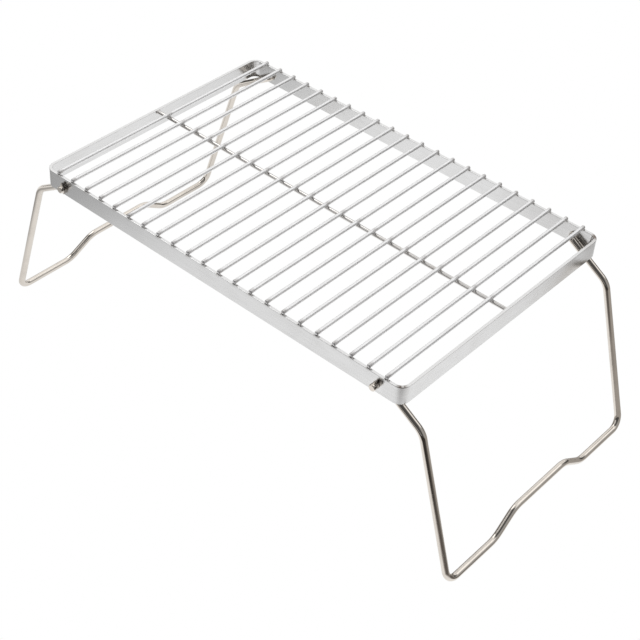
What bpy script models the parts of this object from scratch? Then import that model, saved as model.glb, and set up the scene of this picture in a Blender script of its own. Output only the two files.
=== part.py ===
"""Folding camp grill: a welded grate on two bent-wire legs that fold flat underneath it.

Metres, +Z up, +X along the grate's long side. The origin is on the ground, midway
between the legs. Each leg's object has its origin on its own fold axis.
"""

import math

import bmesh
import bpy
from mathutils import Matrix, Vector

GAP = 0.0003  # left between pieces that touch or are welded on the real grill

# Frame band: one flat bar on edge, bent into a closed rectangle
FRAME_LENGTH = 0.450
FRAME_DEPTH = 0.2984
BAND_HEIGHT = 0.0194
BAND_THICKNESS = 0.003
BAND_TOP = 0.1995
CORNER_RADIUS = 0.0105
CORNER_STEPS = 8

# Cross rods, laid straight over the long rails with their ends almost flush with the outer faces
ROD_COUNT = 22
ROD_DIAMETER = 0.004
ROD_END_INSET = 0.0194  # first rod's centre to the frame's outer end face
ROD_SETBACK = 0.0005  # rod end inside the band's outer face
ROD_SIDES = 12

# Centre rod, under the cross rods from end rail to end rail
CENTRE_ROD_DIAMETER = 0.004
CENTRE_ROD_SIDES = 16

# Legs: one round wire each, seen here for the leg on the +X side
WIRE_DIAMETER = 0.007
WIRE_SIDES = 16
PIVOT_X = 0.197
PIVOT_DROP = 0.0107  # below the top edge of the band
ELBOW_X = 0.2444
ELBOW_Z = 0.1594
FOOT_X = 0.293
SIDE_Y = 0.1417  # plane of the shoulder and the straight part of the leg
GROUND_END_Y = 0.0707  # inner end of the stretch that touches the ground
RISE_TOP_Y = 0.0404
RISE = 0.0183
RISE_INWARD = 0.0018
PIN_BEND_RADIUS = 0.0044
ELBOW_RADIUS = 0.02
FOOT_RADIUS = 0.013
RISE_RADIUS = 0.028
WIRE_BEND_STEPS = 7

# Pin end: two ears pressed out of the wire against the outside of the band, then a stub
PIN_HOLE_DIAMETER = 0.0077
PIN_HOLE_SIDES = 32
STUB_LENGTH = 0.0066  # from the band's outer face
EAR_WIDTH = 0.0023  # along the pin
EAR_HALF_SPAN = 0.0062
EAR_HALF_THICKNESS = 0.002
EAR_SHOULDER = 0.0005  # length over which the wire swells into the ears
EAR_TILT = math.radians(11)  # top of the ears leans outboard
END_CHAMFER = 0.0006


def clear_scene():
    for obj in list(bpy.data.objects):
        bpy.data.objects.remove(obj, do_unlink=True)


def steel(name, colour, roughness):
    material = bpy.data.materials.new(name)
    material.use_nodes = True
    shader = material.node_tree.nodes["Principled BSDF"]
    shader.inputs["Base Color"].default_value = (*colour, 1.0)
    shader.inputs["Metallic"].default_value = 1.0
    shader.inputs["Roughness"].default_value = roughness
    return material


def add_object(name, mesh, material, origin=(0.0, 0.0, 0.0)):
    """An object whose mesh is given in world coordinates and whose origin is moved to origin."""
    mesh.transform(Matrix.Translation(-Vector(origin)))
    mesh.materials.append(material)
    obj = bpy.data.objects.new(name, mesh)
    obj.location = origin
    bpy.context.scene.collection.objects.link(obj)
    return obj


def mesh_from(name, vertices, faces, smooth):
    mesh = bpy.data.meshes.new(name)
    mesh.from_pydata(vertices, [], faces)
    work = bmesh.new()
    work.from_mesh(mesh)
    bmesh.ops.recalc_face_normals(work, faces=work.faces)
    work.to_mesh(mesh)
    work.free()
    for polygon in mesh.polygons:
        polygon.use_smooth = smooth
    return mesh


def bend(before, corner, after, radius, steps):
    """Points of the arc of this centreline radius that rounds a corner."""
    towards_before = (before - corner).normalized()
    towards_after = (after - corner).normalized()
    half_angle = towards_before.angle(towards_after) / 2
    centre_way = (towards_before + towards_after).normalized()
    centre = corner + centre_way * (radius / math.sin(half_angle))
    start = corner + towards_before * (radius / math.tan(half_angle)) - centre
    axis = towards_after.cross(towards_before).normalized()
    sweep = math.pi - 2 * half_angle
    return [centre + Matrix.Rotation(sweep * i / steps, 3, axis) @ start for i in range(steps + 1)]


def rounded_path(corners, radii, steps):
    """The corners joined by straight runs, with each inner corner rounded to its radius."""
    path = [corners[0]]
    for i, radius in enumerate(radii, start=1):
        path += bend(corners[i - 1], corners[i], corners[i + 1], radius, steps)
    return path + [corners[-1]]


def ring(centre, along, side, half_side, half_across, count):
    """An ellipse around the path: half_side is measured along side, half_across square to it."""
    side = (side - along * side.dot(along)).normalized()
    across = along.cross(side)
    points = []
    for i in range(count):
        angle = 2 * math.pi * i / count
        points.append(centre + side * (half_side * math.cos(angle)) + across * (half_across * math.sin(angle)))
    return points, side


def rings_along(path, sections, side, count):
    """A ring at each path point. side is the first ring's direction and is carried along the path."""
    rings = []
    for i, point in enumerate(path):
        along = (path[min(i + 1, len(path) - 1)] - path[max(i - 1, 0)]).normalized()
        points, side = ring(point, along, side, *sections[i], count)
        rings.append(points)
    return rings


def skin(name, rings):
    """A closed mesh over rings of equal size, with flat ends."""
    count = len(rings[0])
    vertices = [point for points in rings for point in points]
    faces = [tuple(range(count)), tuple(range(len(vertices) - count, len(vertices)))]
    for row in range(len(rings) - 1):
        for i in range(count):
            j = (i + 1) % count
            here, there = row * count, (row + 1) * count
            faces.append((here + i, here + j, there + j, there + i))
    return mesh_from(name, vertices, faces, smooth=True)


def chamfered(path, radius):
    """The path with a short chamfer put in at each end, and the half sizes that go with its points."""
    first = path[0] + (path[1] - path[0]).normalized() * END_CHAMFER
    last = path[-1] + (path[-2] - path[-1]).normalized() * END_CHAMFER
    tip = (radius - END_CHAMFER, radius - END_CHAMFER)
    full = (radius, radius)
    return [path[0], first] + path[1:-1] + [last, path[-1]], [tip] + [full] * len(path) + [tip]


def corner_loop(half_x, half_y, radius):
    """Corner points of a rounded rectangle, counterclockwise from above."""
    loop = []
    for quarter, (sign_x, sign_y) in enumerate(((1, 1), (-1, 1), (-1, -1), (1, -1))):
        for i in range(CORNER_STEPS + 1):
            angle = math.pi / 2 * (quarter + i / CORNER_STEPS)
            x = sign_x * (half_x - radius) + radius * math.cos(angle)
            y = sign_y * (half_y - radius) + radius * math.sin(angle)
            loop.append((x, y))
    return loop


def build_band(material):
    outer = corner_loop(FRAME_LENGTH / 2, FRAME_DEPTH / 2, CORNER_RADIUS)
    inner = corner_loop(
        FRAME_LENGTH / 2 - BAND_THICKNESS,
        FRAME_DEPTH / 2 - BAND_THICKNESS,
        CORNER_RADIUS - BAND_THICKNESS,
    )
    bottom = BAND_TOP - BAND_HEIGHT
    loops = [
        [(x, y, z) for x, y in loop]
        for loop, z in ((outer, bottom), (outer, BAND_TOP), (inner, BAND_TOP), (inner, bottom))
    ]
    count = len(outer)
    vertices = [point for loop in loops for point in loop]
    faces = []
    for row in range(4):
        here, there = row * count, (row + 1) % 4 * count
        for i in range(count):
            j = (i + 1) % count
            faces.append((here + i, here + j, there + j, there + i))
    band = add_object("frame_band", mesh_from("frame_band", vertices, faces, smooth=False), material)
    for side in (-1, 1):
        cut_pin_holes(band, side)
    return band


def cut_pin_holes(band, side):
    """One cutter makes the holes for a leg's two pins, in both long rails."""
    centre = Matrix.Translation((side * PIVOT_X, 0, BAND_TOP - PIVOT_DROP))
    place = centre @ Matrix.Rotation(math.pi / 2, 4, "X")
    work = bmesh.new()
    bmesh.ops.create_cone(
        work,
        cap_ends=True,
        segments=PIN_HOLE_SIDES,
        radius1=PIN_HOLE_DIAMETER / 2,
        radius2=PIN_HOLE_DIAMETER / 2,
        depth=FRAME_DEPTH * 1.2,
        matrix=place,
    )
    mesh = bpy.data.meshes.new("pin_hole_cutter")
    work.to_mesh(mesh)
    work.free()
    cutter = bpy.data.objects.new("pin_hole_cutter", mesh)
    cutter.hide_render = True
    cutter.display_type = "WIRE"
    bpy.context.scene.collection.objects.link(cutter)
    cut = band.modifiers.new("pin_holes", "BOOLEAN")
    cut.operation = "DIFFERENCE"
    cut.solver = "EXACT"
    cut.object = cutter


def build_cross_rods(material):
    radius = ROD_DIAMETER / 2
    height = BAND_TOP + GAP + radius
    end_y = FRAME_DEPTH / 2 - ROD_SETBACK
    span = FRAME_LENGTH - 2 * ROD_END_INSET
    for i in range(ROD_COUNT):
        x = span * (i / (ROD_COUNT - 1) - 0.5)
        path, sections = chamfered([Vector((x, -end_y, height)), Vector((x, end_y, height))], radius)
        name = f"cross_rod_{i + 1:02d}"
        mesh = skin(name, rings_along(path, sections, Vector((1, 0, 0)), ROD_SIDES))
        add_object(name, mesh, material, (x, 0, height))


def build_centre_rod(material):
    radius = CENTRE_ROD_DIAMETER / 2
    end_x = FRAME_LENGTH / 2 - BAND_THICKNESS - GAP
    height = BAND_TOP - radius
    path = [Vector((-end_x, 0, height)), Vector((end_x, 0, height))]
    path, sections = chamfered(path, radius)
    mesh = skin("centre_rod", rings_along(path, sections, Vector((0, 1, 0)), CENTRE_ROD_SIDES))
    add_object("centre_rod", mesh, material, (0, 0, height))


def pin_end(pivot_x, pivot_z):
    """The pin from its free end to the inside of the ears: path points and their half sizes."""
    radius = WIRE_DIAMETER / 2
    face = FRAME_DEPTH / 2
    ear_start = face + GAP
    ear = (EAR_HALF_SPAN, EAR_HALF_THICKNESS)
    stations = (
        (face + STUB_LENGTH, (radius - END_CHAMFER, radius - END_CHAMFER)),
        (face + STUB_LENGTH - END_CHAMFER, (radius, radius)),
        (ear_start + EAR_WIDTH + EAR_SHOULDER * 2, (radius, radius)),
        (ear_start + EAR_WIDTH, ear),
        (ear_start + EAR_SHOULDER, ear),
        (ear_start, (radius, radius)),
    )
    path = [Vector((pivot_x, -y, pivot_z)) for y, _ in stations]
    return path, [size for _, size in stations]


def build_leg(name, side, material):
    """side is +1 for the leg on the +X side and -1 for its mirror image."""
    radius = WIRE_DIAMETER / 2
    pivot_x = side * PIVOT_X
    pivot_z = BAND_TOP - PIVOT_DROP
    path, sections = pin_end(pivot_x, pivot_z)
    corners = [
        path[-1],
        Vector((pivot_x, -SIDE_Y, pivot_z)),
        Vector((side * ELBOW_X, -SIDE_Y, ELBOW_Z)),
        Vector((side * FOOT_X, -SIDE_Y, radius)),
        Vector((side * FOOT_X, -GROUND_END_Y, radius)),
        Vector((side * (FOOT_X - RISE_INWARD), -RISE_TOP_Y, radius + RISE)),
        Vector((side * (FOOT_X - RISE_INWARD), 0, radius + RISE)),
    ]
    radii = [PIN_BEND_RADIUS, ELBOW_RADIUS, FOOT_RADIUS, RISE_RADIUS, RISE_RADIUS]
    wire = rounded_path(corners, radii, WIRE_BEND_STEPS)[1:]
    path += wire
    sections += [(radius, radius)] * len(wire)
    ear_way = Vector((side * math.sin(EAR_TILT), 0, math.cos(EAR_TILT)))
    near = rings_along(path, sections, ear_way, WIRE_SIDES)
    far = [[Vector((p.x, -p.y, p.z)) for p in points] for points in reversed(near[:-1])]
    add_object(name, skin(name, near + far), material, (pivot_x, 0, pivot_z))


def main():
    clear_scene()
    satin = steel("satin_plated_steel", (0.72, 0.72, 0.71), 0.35)
    bright = steel("bright_plated_steel", (0.78, 0.75, 0.71), 0.12)
    build_band(satin)
    build_cross_rods(satin)
    build_centre_rod(bright)
    build_leg("right_leg", 1, bright)
    build_leg("left_leg", -1, bright)


main()
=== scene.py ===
"""Camp grill scene: high-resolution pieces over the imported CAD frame, studio light and camera."""

import math
import random

import bmesh
import bpy
from mathutils import Matrix, Vector, noise


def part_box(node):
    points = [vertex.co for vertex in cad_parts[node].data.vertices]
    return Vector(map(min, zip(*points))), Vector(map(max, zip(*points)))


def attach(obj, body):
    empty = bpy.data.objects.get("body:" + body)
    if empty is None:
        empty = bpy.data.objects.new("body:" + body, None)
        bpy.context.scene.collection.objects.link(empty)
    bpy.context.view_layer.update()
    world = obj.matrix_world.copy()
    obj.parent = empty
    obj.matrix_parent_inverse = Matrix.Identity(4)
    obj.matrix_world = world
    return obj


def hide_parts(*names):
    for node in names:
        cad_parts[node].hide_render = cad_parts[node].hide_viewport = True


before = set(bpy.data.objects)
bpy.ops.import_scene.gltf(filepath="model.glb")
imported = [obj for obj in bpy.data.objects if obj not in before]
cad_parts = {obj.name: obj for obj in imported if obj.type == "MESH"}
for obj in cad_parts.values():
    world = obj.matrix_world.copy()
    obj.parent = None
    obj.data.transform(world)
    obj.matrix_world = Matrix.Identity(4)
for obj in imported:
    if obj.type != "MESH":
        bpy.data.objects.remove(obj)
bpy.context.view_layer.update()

random.seed(7)

# ---- dimensions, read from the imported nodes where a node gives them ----
MM = 0.001
BAND_LO, BAND_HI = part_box("frame_band")
CENTRE_LO, CENTRE_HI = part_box("centre_rod")
BAND_THICKNESS = 3.0 * MM
CORNER_RADIUS = 10.5 * MM
EDGE_RADIUS = 0.4 * MM
EDGE_SUPPORT = 0.08 * MM
BAND_STEPS = 20
HOLE_DIAMETER = 7.7 * MM
HOLE_SIDES = 64

ROD_COUNT = 22
ROD_SIDES = 24
ROD_END_RADIUS = 1.4 * MM
# painted contact shade on the rods at the rails and at the middle: distance out, half width, depth of
# tint
RAIL_CONTACT_SHADE = (BAND_HI.y - 2.6 * MM, 4.5 * MM, 0.5)
MIDDLE_CONTACT_SHADE = (0.0, 5.0 * MM, 0.35)
WIRE_RADIUS = 3.44 * MM
WIRE_AXIS_Z = 3.5 * MM  # of the stretch that lies on the ground
WIRE_SIDES = 40
CENTRE_SIDES = 28
CENTRE_END_RADIUS = 0.4 * MM

PIVOT_X = 197.0 * MM
PIVOT_DROP = 10.7 * MM
ELBOW_X = 244.4 * MM
ELBOW_Z = 159.4 * MM
FOOT_X = 293.0 * MM
SIDE_Y = 141.7 * MM
GROUND_END_Y = 70.7 * MM
RISE_TOP_Y = 40.4 * MM
RISE = 18.3 * MM
RISE_INWARD = 1.8 * MM
BEND_RADII = [4.4 * MM, 20 * MM, 13 * MM, 28 * MM, 28 * MM]
BEND_STEPS = 22
STUB_LENGTH = 6.6 * MM
EAR_WIDTH = 2.3 * MM
EAR_HALF_SPAN = 6.2 * MM
EAR_HALF_THICKNESS = 2.0 * MM
EAR_TILT = math.radians(11)
EAR_SWELL = 0.7 * MM  # length over which an ear blends into the wire
EAR_ROOT = (5.2 * MM, 2.4 * MM)  # section where an ear's shoulder begins
STUB_END_RADIUS = 0.7 * MM
UNDERSIDE_HEIGHT = 1.1 * MM  # of the darker underside of the ground run
LONGEST_RUN = 8 * MM  # between two rings of a tube
GAP = 0.3 * MM


# ---- mesh helpers ----
def mesh_object(name, vertices, faces, smooth_angle=math.radians(38)):
    mesh = bpy.data.meshes.new(name)
    mesh.from_pydata([tuple(v) for v in vertices], [], faces)
    work = bmesh.new()
    work.from_mesh(mesh)
    bmesh.ops.recalc_face_normals(work, faces=work.faces)
    work.to_mesh(mesh)
    work.free()
    for polygon in mesh.polygons:
        polygon.use_smooth = True
    mesh.set_sharp_from_angle(angle=smooth_angle)
    obj = bpy.data.objects.new(name, mesh)
    bpy.context.scene.collection.objects.link(obj)
    return obj


def bend(before, corner, after, radius, steps):
    a = (before - corner).normalized()
    b = (after - corner).normalized()
    half = a.angle(b) / 2
    centre = corner + (a + b).normalized() * (radius / math.sin(half))
    start = corner + a * (radius / math.tan(half)) - centre
    axis = b.cross(a).normalized()
    sweep = math.pi - 2 * half
    return [centre + Matrix.Rotation(sweep * i / steps, 3, axis) @ start for i in range(steps + 1)]


def rounded_path(corners, radii, steps):
    path = [corners[0]]
    for i, radius in enumerate(radii, start=1):
        path += bend(corners[i - 1], corners[i], corners[i + 1], radius, steps)
    return path + [corners[-1]]


def subdivided(path, sections, longest):
    """Extra points on long runs, so that a texture or a small waviness has vertices to work on."""
    points, sizes = [path[0]], [sections[0]]
    for i in range(1, len(path)):
        span = (path[i] - path[i - 1]).length
        parts = max(1, int(span / longest))
        for k in range(1, parts + 1):
            t = k / parts
            points.append(path[i - 1].lerp(path[i], t))
            a, b = sections[i - 1], sections[i]
            sizes.append(tuple(a[n] + (b[n] - a[n]) * t for n in range(2)))
    return points, sizes


def ring(centre, along, side, sizes, count):
    side = (side - along * side.dot(along)).normalized()
    across = along.cross(side)
    return [
        centre
        + side * (sizes[0] * math.cos(2 * math.pi * i / count))
        + across * (sizes[1] * math.sin(2 * math.pi * i / count))
        for i in range(count)
    ], side


def rings_along(path, sections, side, count):
    rings = []
    for i, point in enumerate(path):
        along = (path[min(i + 1, len(path) - 1)] - path[max(i - 1, 0)]).normalized()
        points, side = ring(point, along, side, sections[i], count)
        rings.append(points)
    return rings


def skin(name, rings):
    count = len(rings[0])
    vertices = [p for points in rings for p in points]
    faces = [tuple(range(count)), tuple(range(len(vertices) - count, len(vertices)))]
    for row in range(len(rings) - 1):
        for i in range(count):
            j = (i + 1) % count
            here, there = row * count, (row + 1) * count
            faces.append((here + i, here + j, there + j, there + i))
    return mesh_object(name, vertices, faces)


def end_profile(radius, corner, steps=5):
    """(distance from the end, section radius) pairs of a rounded bar end."""
    pairs = [(0.0, radius - corner)]
    for i in range(1, steps + 1):
        a = math.pi / 2 * i / steps
        pairs.append((corner * (1 - math.cos(a)), radius - corner + corner * math.sin(a)))
    return pairs


def bar(name, start, end, radius, corner, side, count):
    way = (end - start).normalized()
    head = [(start + way * d, (r, r)) for d, r in end_profile(radius, corner)]
    tail = [(end - way * d, (r, r)) for d, r in reversed(end_profile(radius, corner))]
    path = [p for p, _ in head + tail]
    sections = [s for _, s in head + tail]
    path, sections = subdivided(path, sections, LONGEST_RUN)
    return skin(name, rings_along(path, sections, side, count))


# ---- materials ----
class Metal:
    """A Principled metal whose colour, roughness and bump are built up layer by layer."""

    def __init__(self, name, colour, roughness):
        self.material = bpy.data.materials.new(name)
        self.material.use_nodes = True
        self.tree = self.material.node_tree
        self.shader = self.tree.nodes["Principled BSDF"]
        self.shader.inputs["Metallic"].default_value = 1.0
        self.shader.inputs["IOR"].default_value = 2.2
        self.coord = self.tree.nodes.new("ShaderNodeTexCoord").outputs["Object"]
        # constants until something varies them, and sockets from then on
        self.colour = (*colour, 1)
        self.roughness = roughness
        self.height = None

    def link(self, a, b):
        self.tree.links.new(a, b)

    def feed(self, value, socket):
        """Links a socket, or sets a constant."""
        if isinstance(value, bpy.types.NodeSocket):
            self.link(value, socket)
        else:
            socket.default_value = value

    def stretched(self, scale):
        mapping = self.tree.nodes.new("ShaderNodeMapping")
        mapping.inputs["Scale"].default_value = scale
        self.link(self.coord, mapping.inputs["Vector"])
        return mapping.outputs["Vector"]

    def noise(self, scale, detail=3.0, stretch=(1, 1, 1), rough=0.55):
        made = self.tree.nodes.new("ShaderNodeTexNoise")
        made.inputs["Scale"].default_value = scale
        made.inputs["Detail"].default_value = detail
        made.inputs["Roughness"].default_value = rough
        self.link(self.stretched(stretch), made.inputs["Vector"])
        return made.outputs["Fac"]

    def ramp(self, value, stops):
        """Maps value between (position, level) stops."""
        made = self.tree.nodes.new("ShaderNodeValToRGB")
        band = made.color_ramp
        while len(band.elements) < len(stops):
            band.elements.new(0.5)
        for element, (position, level) in zip(band.elements, stops):
            element.position = position
            element.color = (level, level, level, 1)
        self.link(value, made.inputs["Fac"])
        return made.outputs["Color"]

    def maths(self, kind, a, b=None, clamp=False):
        made = self.tree.nodes.new("ShaderNodeMath")
        made.operation = kind
        made.use_clamp = clamp
        for socket, value in zip(made.inputs, (a, b)):
            if value is not None:
                self.feed(value, socket)
        return made.outputs[0]

    def tint(self, mask, colour):
        mix = self.tree.nodes.new("ShaderNodeMix")
        mix.data_type = "RGBA"
        self.link(mask, mix.inputs[0])
        self.feed(self.colour, mix.inputs[6])
        mix.inputs[7].default_value = (*colour, 1)
        self.colour = mix.outputs[2]

    def roughen(self, mask, amount):
        part = self.maths("MULTIPLY", mask, amount)
        self.roughness = self.maths("ADD", part, self.roughness, clamp=True)

    def raise_by(self, height, amount):
        part = self.maths("MULTIPLY", height, amount)
        self.height = part if self.height is None else self.maths("ADD", self.height, part)

    def finish(self, strength, distance):
        self.feed(self.colour, self.shader.inputs["Base Color"])
        self.feed(self.roughness, self.shader.inputs["Roughness"])
        if self.height is not None:
            bump = self.tree.nodes.new("ShaderNodeBump")
            bump.inputs["Strength"].default_value = strength
            bump.inputs["Distance"].default_value = distance
            self.link(self.height, bump.inputs["Height"])
            self.link(bump.outputs["Normal"], self.shader.inputs["Normal"])
        return self.material

    def position(self, axis):
        made = self.tree.nodes.new("ShaderNodeSeparateXYZ")
        self.link(self.coord, made.inputs[0])
        return made.outputs["XYZ".index(axis)]

    def near(self, value, centre, half_width):
        """1 at centre, falling to 0 at half_width away."""
        away = self.maths("ABSOLUTE", self.maths("SUBTRACT", value, centre))
        return self.maths("SUBTRACT", 1.0, self.maths("DIVIDE", away, half_width), clamp=True)

    def pointiness(self):
        made = self.tree.nodes.new("ShaderNodeNewGeometry")
        return made.outputs["Pointiness"]


def satin_bar(name):
    """Plated flat bar: fine grain along the bar, faint mottling and clouding."""
    metal = Metal(name, (0.76, 0.76, 0.76), 0.17)
    grain = metal.noise(900, 2, (0.05, 0.05, 1.0), 0.6)
    mottle = metal.noise(38, 4, (1, 1, 1), 0.6)
    cloud = metal.noise(9, 2)
    metal.tint(metal.ramp(grain, [(0.35, 0.0), (0.75, 0.10)]), (0.62, 0.62, 0.615))
    metal.tint(metal.ramp(mottle, [(0.45, 0.0), (0.8, 0.18)]), (0.66, 0.655, 0.64))
    metal.tint(metal.ramp(cloud, [(0.4, 0.0), (0.75, 0.10)]), (0.9, 0.9, 0.9))
    metal.roughen(metal.ramp(grain, [(0.3, 0.0), (0.8, 1.0)]), 0.10)
    metal.roughen(metal.ramp(mottle, [(0.4, 0.0), (0.8, 1.0)]), 0.06)
    metal.raise_by(grain, 0.04)
    metal.raise_by(cloud, 1.0)
    return metal


def rod_metal(name):
    """Satin rods: lengthwise draw marks, slight mottling, painted contact shade at the welds."""
    metal = Metal(name, (0.86, 0.86, 0.866), 0.34)
    grain = metal.noise(800, 2, (1, 0.08, 1), 0.6)
    mottle = metal.noise(55, 4)
    metal.tint(metal.ramp(mottle, [(0.42, 0.0), (0.8, 0.25)]), (0.66, 0.65, 0.64))
    metal.roughen(metal.ramp(grain, [(0.3, 0.0), (0.8, 1.0)]), 0.10)
    away = metal.maths("ABSOLUTE", metal.position("Y"))
    for centre, width, depth in RAIL_CONTACT_SHADE, MIDDLE_CONTACT_SHADE:
        zone = metal.near(away, centre, width)
        broken = metal.ramp(metal.noise(420, 3), [(0.35, 0.2), (0.7, 1.0)])
        patch = metal.maths("MULTIPLY", zone, broken)
        # painted contact shade where the rods meet the rails and the middle rod, brown like heat tint
        metal.tint(metal.maths("MULTIPLY", patch, depth), (0.27, 0.23, 0.2))
        metal.roughen(zone, 0.2)
    metal.raise_by(grain, 0.15)
    metal.raise_by(mottle, 1.0)
    return metal.finish(0.3, 0.00005)


def bright_metal(name, colour, roughness):
    """Polished wire: faint upright polish lines, patches of haze with a warm cast."""
    metal = Metal(name, colour, roughness)
    haze = metal.noise(60, 4)
    scratch = metal.noise(700, 2, (1, 1, 0.1), 0.7)
    metal.tint(metal.ramp(haze, [(0.42, 0.0), (0.75, 0.35)]), (0.5, 0.46, 0.42))
    metal.roughen(metal.ramp(haze, [(0.4, 0.0), (0.8, 1.0)]), 0.10)
    metal.roughen(metal.ramp(scratch, [(0.55, 0.0), (0.8, 1.0)]), 0.12)
    metal.raise_by(haze, 1.0)
    metal.raise_by(scratch, 0.12)
    return metal


def leg_metal(name):
    """Polished wire, with painted shade on the pressed ears and darker on the underside where it
    stands.
    """
    metal = bright_metal(name, (0.74, 0.69, 0.63), 0.08)
    away = metal.maths("ABSOLUTE", metal.position("Y"))
    face = BAND_HI.y
    ears = metal.near(away, face + GAP + EAR_WIDTH / 2, EAR_WIDTH * 0.85)
    # painted shade on the pressed ears
    metal.tint(metal.ramp(ears, [(0.1, 0.0), (0.6, 0.7)]), (0.09, 0.08, 0.072))
    metal.roughen(ears, 0.25)
    # darker and rougher on the underside of the ground run, where it meets the floor
    ground = metal.maths("LESS_THAN", metal.position("Z"), UNDERSIDE_HEIGHT)
    broken = metal.ramp(metal.noise(300, 4), [(0.4, 0.0), (0.7, 1.0)])
    underside_mask = metal.maths("MULTIPLY", ground, broken)
    metal.tint(metal.maths("MULTIPLY", underside_mask, 0.5), (0.35, 0.33, 0.31))
    metal.roughen(underside_mask, 0.25)
    return metal.finish(0.25, 0.00004)


def weld_metal(name):
    """Spot weld: lumpy, with a brown and straw heat tint over grey."""
    metal = Metal(name, (0.8, 0.795, 0.785), 0.42)
    lump = metal.noise(900, 4)
    metal.tint(metal.ramp(lump, [(0.4, 0.0), (0.75, 0.4)]), (0.36, 0.335, 0.315))
    straw = metal.noise(500, 2)
    metal.tint(metal.ramp(straw, [(0.55, 0.0), (0.8, 0.6)]), (0.62, 0.52, 0.38))
    metal.raise_by(lump, 1.0)
    return metal.finish(0.6, 0.0002)


def band_metal():
    """The satin bar with burnt corners, a painted reflection of the leg wire near the back right
    corner, painted contact shade at the welds and lighter rounded edges.
    """
    metal = satin_bar("satin_band")
    x, y, z = (metal.position(a) for a in "XYZ")
    corner_x, corner_y = BAND_HI.x, BAND_HI.y
    # burnt patches on the top edge of both right corners, and a brown painted reflection of the leg
    # wire near the back one
    top = metal.maths("GREATER_THAN", z, BAND_HI.z - 0.8 * MM)
    for sign in (-1, 1):
        spot = metal.maths(
            "MULTIPLY",
            metal.near(x, corner_x - 4.0 * MM, 6 * MM),
            metal.near(y, sign * (corner_y - 3.0 * MM), 6 * MM),
        )
        spot = metal.maths("MULTIPLY", metal.maths("MULTIPLY", spot, top), 1.6, clamp=True)
        metal.tint(spot, (0.22, 0.19, 0.17))
    side = metal.maths("GREATER_THAN", x, corner_x - 3 * MM)
    reflection_zone = metal.maths("MULTIPLY", side, metal.near(y, corner_y - 16 * MM, 17 * MM))
    broken = metal.ramp(metal.noise(140, 4, (1, 1, 2)), [(0.3, 0.25), (0.7, 1.0)])
    # painted reflection of the shoulder wire in the right rail, tinted brown
    wire_reflection = metal.maths("MULTIPLY", metal.maths("MULTIPLY", reflection_zone, broken), 0.42)
    metal.tint(wire_reflection, (0.38, 0.35, 0.32))
    # painted contact shade round each weld on the top edge of the long rails
    rail_inside = corner_y - BAND_THICKNESS - 0.2 * MM
    long_rail = metal.maths("GREATER_THAN", metal.maths("ABSOLUTE", y), rail_inside)
    phase = metal.maths("PINGPONG", metal.maths("ADD", x, ROD_PITCH / 2), ROD_PITCH / 2)
    near_rod = metal.near(phase, 0.0, 4.2 * MM)
    high = metal.near(z, BAND_HI.z, 3.4 * MM)
    contact_shade = metal.maths("MULTIPLY", metal.maths("MULTIPLY", long_rail, near_rod), high)
    patch = metal.ramp(metal.noise(380, 3), [(0.35, 0.15), (0.7, 1.0)])
    contact_shade = metal.maths("MULTIPLY", metal.maths("MULTIPLY", contact_shade, patch), 0.45, clamp=True)
    metal.tint(contact_shade, (0.3, 0.27, 0.24))
    # lighter along the rounded edges, found by pointiness
    edges = metal.ramp(metal.pointiness(), [(0.52, 0.0), (0.6, 0.5)])
    metal.tint(edges, (0.93, 0.93, 0.92))
    return metal.finish(0.3, 0.00006)


# ---- pieces ----
def rim(half_x, half_y, radius):
    """(point, outward normal) pairs round the band's outside, counterclockwise from above."""
    pairs = []
    for quarter, (sx, sy) in enumerate(((1, 1), (-1, 1), (-1, -1), (1, -1))):
        centre = Vector((sx * (half_x - radius), sy * (half_y - radius), 0))
        for i in range(BAND_STEPS + 1):
            a = math.pi / 2 * (quarter + i / BAND_STEPS)
            normal = Vector((math.cos(a), math.sin(a), 0))
            pairs.append((centre + normal * radius, normal))
    filled = []
    for i, (point, normal) in enumerate(pairs):
        filled.append((point, normal))
        following = pairs[(i + 1) % len(pairs)][0]
        span = (following - point).length
        if span > 20 * MM:
            parts = round(span / (10 * MM))
            filled += [(point.lerp(following, k / parts), normal) for k in range(1, parts)]
    return filled


def band_section():
    """(inward offset, height) pairs round the flat bar's section, edges slightly rounded."""
    low, high, wide, r = BAND_LO.z, BAND_HI.z, BAND_THICKNESS, EDGE_RADIUS
    pairs = []
    arcs = ((wide - r, low + r, -90), (wide - r, high - r, 0), (r, high - r, 90), (r, low + r, 180))
    for cx, cz, first in arcs:
        arc = []
        for i in range(5):
            a = math.radians(first + 22.5 * i)
            arc.append((cx + r * math.cos(a), cz + r * math.sin(a)))
        # a support point beyond each end of the arc keeps the flats' shading flat
        for end, turn in ((0, -90), (-1, 90)):
            a = math.radians(first + (0 if end == 0 else 90) + turn)
            x, z = arc[end]
            point = (x + EDGE_SUPPORT * math.cos(a), z + EDGE_SUPPORT * math.sin(a))
            arc = [point] + arc if end == 0 else arc + [point]
        pairs += arc
    return pairs


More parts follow.
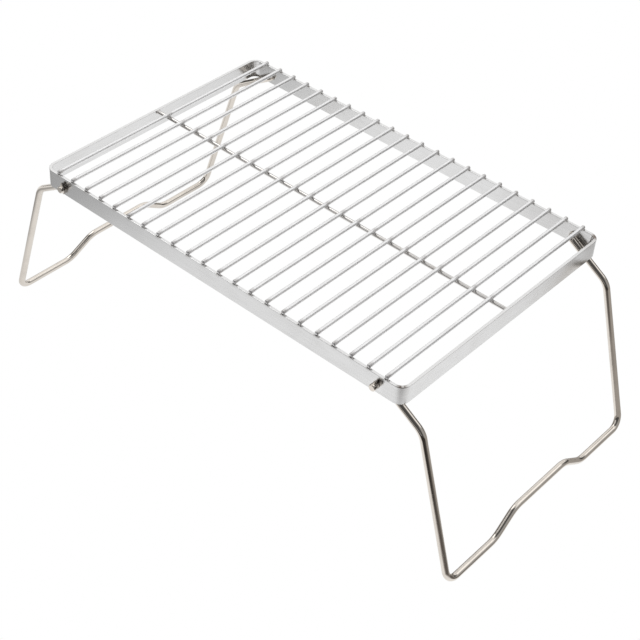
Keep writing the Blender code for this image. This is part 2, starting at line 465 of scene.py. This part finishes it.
def build_band(material):
    around = rim(BAND_HI.x, BAND_HI.y, CORNER_RADIUS)
    section = band_section()
    count = len(section)
    vertices = [Vector((p.x - n.x * d, p.y - n.y * d, z)) for p, n in around for d, z in section]
    faces = []
    for row in range(len(around)):
        here, there = row * count, (row + 1) % len(around) * count
        for i in range(count):
            j = (i + 1) % count
            faces.append((here + i, here + j, there + j, there + i))
    band = mesh_object("band", vertices, faces)
    cutters = []
    for side in (-1, 1):
        work = bmesh.new()
        place = Matrix.Translation((side * PIVOT_X, 0, BAND_HI.z - PIVOT_DROP))
        place = place @ Matrix.Rotation(math.pi / 2, 4, "X")
        bmesh.ops.create_cone(
            work, cap_ends=True, segments=HOLE_SIDES, radius1=HOLE_DIAMETER / 2,
            radius2=HOLE_DIAMETER / 2, depth=BAND_HI.y * 2.4, matrix=place,
        )
        mesh = bpy.data.meshes.new("cutter")
        work.to_mesh(mesh)
        work.free()
        cutter = bpy.data.objects.new("cutter", mesh)
        bpy.context.scene.collection.objects.link(cutter)
        cut = band.modifiers.new("hole", "BOOLEAN")
        cut.operation, cut.solver, cut.object = "DIFFERENCE", "EXACT", cutter
        cutters.append(cutter)
    bpy.context.view_layer.update()
    graph = bpy.context.evaluated_depsgraph_get()
    cut_mesh = bpy.data.meshes.new_from_object(band.evaluated_get(graph))
    band.modifiers.clear()
    band.data = cut_mesh
    for cutter in cutters:
        bpy.data.objects.remove(cutter)
    for polygon in cut_mesh.polygons:
        polygon.use_smooth = True
    cut_mesh.set_sharp_from_angle(angle=math.radians(30))
    band.data.materials.append(material)
    return band


def mirrored(rings):
    return [[Vector((p.x, -p.y, p.z)) for p in points] for points in reversed(rings[:-1])]


def build_leg(name, side, material):
    radius = WIRE_RADIUS
    px, pz = side * PIVOT_X, BAND_HI.z - PIVOT_DROP
    face = BAND_HI.y
    ear_start, ear_end = face + GAP, face + GAP + EAR_WIDTH
    end_y = face + STUB_LENGTH
    full, ear = (radius, radius), (EAR_HALF_SPAN, EAR_HALF_THICKNESS)
    stations = [(end_y - d, (r, r)) for d, r in end_profile(radius, STUB_END_RADIUS)]
    # the ear is pressed out of the wire: it swells in, holds, and drops to its inner shoulder
    for t, weight in ((0.0, 0.0), (0.25, 0.15), (0.5, 0.5), (0.75, 0.85), (1.0, 1.0)):
        section = tuple(full[n] + (ear[n] - full[n]) * weight for n in range(2))
        stations.append((ear_end + EAR_SWELL * (1 - t), section))
    stations += [
        (ear_start + EAR_SWELL * 0.9, ear),
        (ear_start + 0.25 * MM, EAR_ROOT),
        (ear_start, full),
    ]
    path = [Vector((px, -y, pz)) for y, _ in stations]
    sections = [s for _, s in stations]
    corners = [
        path[-1],
        Vector((px, -SIDE_Y, pz)),
        Vector((side * ELBOW_X, -SIDE_Y, ELBOW_Z)),
        Vector((side * FOOT_X, -SIDE_Y, WIRE_AXIS_Z)),
        Vector((side * FOOT_X, -GROUND_END_Y, WIRE_AXIS_Z)),
        Vector((side * (FOOT_X - RISE_INWARD), -RISE_TOP_Y, WIRE_AXIS_Z + RISE)),
        Vector((side * (FOOT_X - RISE_INWARD), 0, WIRE_AXIS_Z + RISE)),
    ]
    wire = rounded_path(corners, BEND_RADII, BEND_STEPS)[1:]
    wire, sizes = subdivided([path[-1]] + wire, [full] * (len(wire) + 1), LONGEST_RUN)
    path, sections = path + wire[1:], sections + sizes[1:]
    way = Vector((side * math.sin(EAR_TILT), 0, math.cos(EAR_TILT)))
    near = rings_along(path, sections, way, WIRE_SIDES)
    leg = skin(name, near + mirrored(near))
    leg.data.materials.append(material)
    return leg


def weld_bead(centre, half, seed):
    """A lumpy flattened bead as (vertices, faces)."""
    work = bmesh.new()
    bmesh.ops.create_icosphere(work, subdivisions=3, radius=1.0)
    for v in work.verts:
        lump = 1 + 0.16 * noise.noise(v.co * 1.9 + Vector((seed * 3.7, seed * 1.3, 0)))
        v.co = Vector(centre) + Vector([v.co[n] * half[n] * lump for n in range(3)])
    vertices = [v.co.copy() for v in work.verts]
    faces = [[v.index for v in f.verts] for f in work.faces]
    work.free()
    return vertices, faces


def build_welds(name, places, half, material):
    vertices, faces = [], []
    for i, place in enumerate(places):
        jitter = [random.uniform(-0.12, 0.12) * h for h in half]
        size = [h * random.uniform(0.88, 1.12) for h in half]
        more, shape = weld_bead([place[n] + jitter[n] for n in range(3)], size, i + len(name))
        faces += [[k + len(vertices) for k in f] for f in shape]
        vertices += more
    welds = mesh_object(name, vertices, faces, math.radians(80))
    welds.data.materials.append(material)
    return welds


rod_lo, rod_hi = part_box("cross_rod_01")
last_lo, last_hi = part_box("cross_rod_22")
ROD_RADIUS = (rod_hi.z - rod_lo.z) / 2
ROD_Z = (rod_hi.z + rod_lo.z) / 2
FIRST_X, LAST_X = (rod_lo.x + rod_hi.x) / 2, (last_lo.x + last_hi.x) / 2
ROD_PITCH = (LAST_X - FIRST_X) / (ROD_COUNT - 1)

band_material = band_metal()
rod_material = rod_metal("satin_rods")
leg_material = leg_metal("polished_wire")
centre_material = bright_metal("polished_rod", (0.66, 0.645, 0.63), 0.1).finish(0.25, 0.00004)
weld_material = weld_metal("weld")


def place_piece(obj, body, slot, *nodes):
    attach(obj, body)
    if nodes:
        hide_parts(*nodes)


place_piece(build_band(band_material), "grate", "satin_steel", "frame_band")

rod_xs = [FIRST_X + ROD_PITCH * i for i in range(ROD_COUNT)]
for i, x in enumerate(rod_xs):
    name = f"rod_{i + 1:02d}"
    rod = bar(
        name, Vector((x, rod_lo.y, ROD_Z)), Vector((x, rod_hi.y, ROD_Z)),
        ROD_RADIUS, ROD_END_RADIUS, Vector((1, 0, 0)), ROD_SIDES,
    )
    rod.data.materials.append(rod_material)
    place_piece(rod, "grate", "satin_steel", f"cross_rod_{i + 1:02d}")

centre_radius = (CENTRE_HI.z - CENTRE_LO.z) / 2
centre_z = (CENTRE_HI.z + CENTRE_LO.z) / 2
centre = bar(
    "long_rod", Vector((CENTRE_LO.x, 0, centre_z)), Vector((CENTRE_HI.x, 0, centre_z)),
    centre_radius, CENTRE_END_RADIUS, Vector((0, 1, 0)), CENTRE_SIDES,
)
centre.data.materials.append(centre_material)
place_piece(centre, "grate", "bright_steel", "centre_rod")

RAIL_Y = BAND_HI.y - BAND_THICKNESS / 2
WELD_HALF = (0.9 * MM, 1.2 * MM, 0.65 * MM)
CENTRE_WELD_HALF = (0.9 * MM, 1.3 * MM, 0.6 * MM)
END_WELD_HALF = (1.1 * MM, 2.7 * MM, 1.9 * MM)
WELD_OFFSET = 1.45 * MM  # a bead on each side of the rod


def bead_pairs(y, height):
    return [(x + s * WELD_OFFSET, y, BAND_HI.z + height) for x in rod_xs for s in (-1, 1)]


for label, spots, half in (
    ("front", bead_pairs(-RAIL_Y, 0.1 * MM), WELD_HALF),
    ("back", bead_pairs(RAIL_Y, 0.1 * MM), WELD_HALF),
    ("centre", bead_pairs(0, 0.05 * MM), CENTRE_WELD_HALF),
    ("ends", [(s * (CENTRE_HI.x + 0.1 * MM), 0, centre_z) for s in (-1, 1)], END_WELD_HALF),
):
    welds = build_welds(f"welds_{label}", spots, half, weld_material)
    place_piece(welds, "grate", "satin_steel")

for name, side in (("leg_right", 1), ("leg_left", -1)):
    body = "right_leg" if side > 0 else "left_leg"
    place_piece(build_leg(name, side, leg_material), body, "bright_steel", body)


# ---- stage, light and camera ----
FLOOR_HALF = 12.0
FLOOR_Z = -0.0004


def build_floor():
    signs = ((-1, -1), (1, -1), (1, 1), (-1, 1))
    corners = [(x * FLOOR_HALF, y * FLOOR_HALF, FLOOR_Z) for x, y in signs]
    floor = mesh_object("floor", corners, [(0, 1, 2, 3)])
    floor.data.materials.append(floor_material())


def ramp_of(tree, value, stops):
    made = tree.nodes.new("ShaderNodeValToRGB")
    band = made.color_ramp
    band.interpolation = "EASE"
    while len(band.elements) < len(stops):
        band.elements.new(0.5)
    for element, (position, colour) in zip(band.elements, stops):
        element.position = position
        element.color = (*colour, 1) if isinstance(colour, tuple) else (colour, colour, colour, 1)
    tree.links.new(value, made.inputs["Fac"])
    return made.outputs["Color"]


def floor_material():
    """White to the camera. In reflections, a lit pool that falls off into a darker studio."""
    material = bpy.data.materials.new("floor")
    material.use_nodes = True
    tree = material.node_tree
    tree.nodes.remove(tree.nodes["Principled BSDF"])
    coord = tree.nodes.new("ShaderNodeTexCoord")
    away = tree.nodes.new("ShaderNodeVectorMath")
    away.operation = "DISTANCE"
    away.inputs[1].default_value = (*POOL_CENTRE, FLOOR_Z)
    tree.links.new(coord.outputs["Object"], away.inputs[0])

    def combine(kind, first, second, factor=1.0):
        both = tree.nodes.new("ShaderNodeMix")
        both.data_type = "RGBA"
        both.blend_type = kind
        if isinstance(factor, float):
            both.inputs[0].default_value = factor
        else:
            tree.links.new(factor, both.inputs[0])
        tree.links.new(first, both.inputs[6])
        tree.links.new(second, both.inputs[7])
        return both.outputs[2]

    def measured(direction):
        dot = tree.nodes.new("ShaderNodeVectorMath")
        dot.operation = "DOT_PRODUCT"
        dot.inputs[1].default_value = direction
        tree.links.new(coord.outputs["Object"], dot.inputs[0])
        return dot.outputs["Value"]

    def towards_back():
        added = tree.nodes.new("ShaderNodeMath")
        added.operation = "ADD"
        tree.links.new(measured((0, 1, 0)), added.inputs[0])
        added.inputs[1].default_value = -FAR_SIDE_START
        return added.outputs[0]

    grazing = tree.nodes.new("ShaderNodeLayerWeight")
    grazing.inputs["Blend"].default_value = 0.5
    lit = ramp_of(tree, away.outputs["Value"], POOL_FALL)
    lit = combine("LIGHTEN", lit, ramp_of(tree, measured((-1, 1, 0)), BACK_LEFT))
    lit = combine("MULTIPLY", lit, ramp_of(tree, measured((1, -1, 0)), PAPER_EDGE))
    lit = combine("MULTIPLY", lit, ramp_of(tree, measured((1, 0, 0)), PAPER_SIDE))
    sheen = ramp_of(tree, grazing.outputs["Facing"], GRAZING_FALL)
    lit = combine("MULTIPLY", lit, sheen, ramp_of(tree, measured((1, -0.6, 0)), GRAZING_SIDE))
    lit = combine("LIGHTEN", lit, ramp_of(tree, measured((-1, -1, 0)), FRONT_LEFT))
    lit = combine("LIGHTEN", lit, ramp_of(tree, towards_back(), FAR_SIDE))
    pool = tree.nodes.new("ShaderNodeEmission")
    tree.links.new(lit, pool.inputs["Color"])
    white = tree.nodes.new("ShaderNodeEmission")
    path = tree.nodes.new("ShaderNodeLightPath")
    mix = tree.nodes.new("ShaderNodeMixShader")
    tree.links.new(path.outputs["Is Camera Ray"], mix.inputs[0])
    tree.links.new(pool.outputs[0], mix.inputs[1])
    tree.links.new(white.outputs[0], mix.inputs[2])
    tree.links.new(mix.outputs[0], tree.nodes["Material Output"].inputs["Surface"])
    return material


KEY_PLACE = Vector((-1.2, 0.2, 1.8))
KEY_TARGET = Vector((0, 0, 0.15))
KEY_SIZE = 0.7
KEY_POWER = 3


def build_key_light():
    data = bpy.data.lights.new("key", "AREA")
    data.shape = "RECTANGLE"
    data.size, data.size_y = KEY_SIZE, KEY_SIZE
    data.energy = KEY_POWER
    obj = bpy.data.objects.new("key", data)
    obj.location = KEY_PLACE
    obj.rotation_euler = (KEY_TARGET - KEY_PLACE).to_track_quat("-Z", "Y").to_euler()
    bpy.context.scene.collection.objects.link(obj)


# what the floor shows in reflections, as (metres, light) stops, here against the distance from a centre
POOL_CENTRE = (0.10, -0.05)
POOL_FALL = [
    (0.0, 1.0), (0.25, 0.98), (0.37, 0.93), (0.46, 0.78), (0.515, 0.57), (0.56, 0.46),
    (0.66, (0.24, 0.22, 0.20)), (0.80, (0.07, 0.062, 0.055)),
]
# the least light anywhere, brighter towards the back, against y - FAR_SIDE_START
FAR_SIDE_START = -0.5
FAR_SIDE = [
    (0.15, (0.04, 0.036, 0.033)), (0.38, (0.14, 0.13, 0.12)),
    (0.46, (0.34, 0.32, 0.30)), (0.6, (0.42, 0.40, 0.38)),
]
BACK_LEFT = [(0.28, 0.0), (0.46, 0.95)]  # against y - x
FRONT_LEFT = [(0.5, 0.0), (0.85, 0.5)]  # against -x - y
PAPER_SIDE = [(0.40, 1.0), (0.55, (0.40, 0.36, 0.32))]  # against x
PAPER_EDGE = [(0.58, 1.0), (0.76, (0.12, 0.10, 0.09))]  # against x - y
GRAZING_FALL = [(0.37, 1.0), (0.60, (0.13, 0.105, 0.09))]  # from a steep ray to a grazing one
GRAZING_SIDE = [(0.0, 0.0), (0.12, 1.0)]  # against x - 0.6 y
# (direction, (cosine of the angle from it, light) stops, gain)
SKY_LOBES = [
    ((-0.40, 0.60, 0.69), [(0.66, 0.0), (0.82, 1.0)], 0.92),
    ((0.42, 0.45, 0.79), [(0.92, 0.0), (0.965, 1.0)], 0.72),
    ((-0.52, -0.55, 0.65), [(0.84, 0.0), (0.93, 1.0)], 0.75),
    ((0.85, 0.30, 0.42), [(0.72, 0.0), (0.9, 1.0)], 0.33),
]
SKY_BASE = 0.09


def build_light():
    """A white studio to the camera, soft bright panels in reflections, and one soft key."""
    world = bpy.data.worlds.new("studio")
    bpy.context.scene.world = world
    world.use_nodes = True
    tree = world.node_tree
    coord = tree.nodes.new("ShaderNodeTexCoord")
    total = None
    for direction, stops, gain in SKY_LOBES:
        dot = tree.nodes.new("ShaderNodeVectorMath")
        dot.operation = "DOT_PRODUCT"
        dot.inputs[1].default_value = Vector(direction).normalized()
        tree.links.new(coord.outputs["Generated"], dot.inputs[0])
        part = tree.nodes.new("ShaderNodeMath")
        part.operation = "MULTIPLY_ADD"
        tree.links.new(ramp_of(tree, dot.outputs["Value"], stops), part.inputs[0])
        part.inputs[1].default_value = gain
        part.inputs[2].default_value = SKY_BASE
        if total is not None:
            tree.links.new(total, part.inputs[2])
        total = part.outputs[0]
    background = tree.nodes["Background"]
    background.inputs["Color"].default_value = (1, 0.995, 0.99, 1)
    tree.links.new(total, background.inputs["Strength"])
    paper = tree.nodes.new("ShaderNodeBackground")
    paper.inputs["Color"].default_value = (1, 1, 1, 1)
    path = tree.nodes.new("ShaderNodeLightPath")
    mix = tree.nodes.new("ShaderNodeMixShader")
    tree.links.new(path.outputs["Is Camera Ray"], mix.inputs[0])
    tree.links.new(background.outputs[0], mix.inputs[1])
    tree.links.new(paper.outputs[0], mix.inputs[2])
    tree.links.new(mix.outputs[0], tree.nodes["World Output"].inputs["Surface"])
    build_key_light()


CAMERA_AZIMUTH, CAMERA_ELEVATION, CAMERA_ROLL = 0.67580, 0.70904, 0.07296
CAMERA_SHIFT = (0.79 * MM, -113.85 * MM)  # across and up the picture, from above the band's middle
CAMERA_DISTANCE = 1411.53 * MM
FOCAL_PIXELS = 1470.20
IMAGE_PIXELS = 640


def build_camera():
    azimuth, elevation, roll = CAMERA_AZIMUTH, CAMERA_ELEVATION, CAMERA_ROLL
    back = Vector((
        math.sin(azimuth) * math.cos(elevation),
        -math.cos(azimuth) * math.cos(elevation),
        math.sin(elevation),
    ))
    level = (-back).cross(Vector((0, 0, 1))).normalized()
    upright = level.cross(-back)
    across = level * math.cos(roll) + upright * math.sin(roll)
    up = upright * math.cos(roll) - level * math.sin(roll)
    place = across * CAMERA_SHIFT[0] + up * CAMERA_SHIFT[1] + back * CAMERA_DISTANCE
    place += Vector((0, 0, BAND_HI.z))
    data = bpy.data.cameras.new("camera")
    data.sensor_width = 36
    data.lens = FOCAL_PIXELS * data.sensor_width / IMAGE_PIXELS
    data.clip_end = 50
    camera = bpy.data.objects.new("camera", data)
    turn = Matrix((across, up, back)).transposed().to_4x4()
    camera.matrix_world = Matrix.Translation(place) @ turn
    bpy.context.scene.collection.objects.link(camera)
    bpy.context.scene.camera = camera


build_floor()
build_light()
build_camera()
bpy.context.scene.view_settings.view_transform = "Standard"
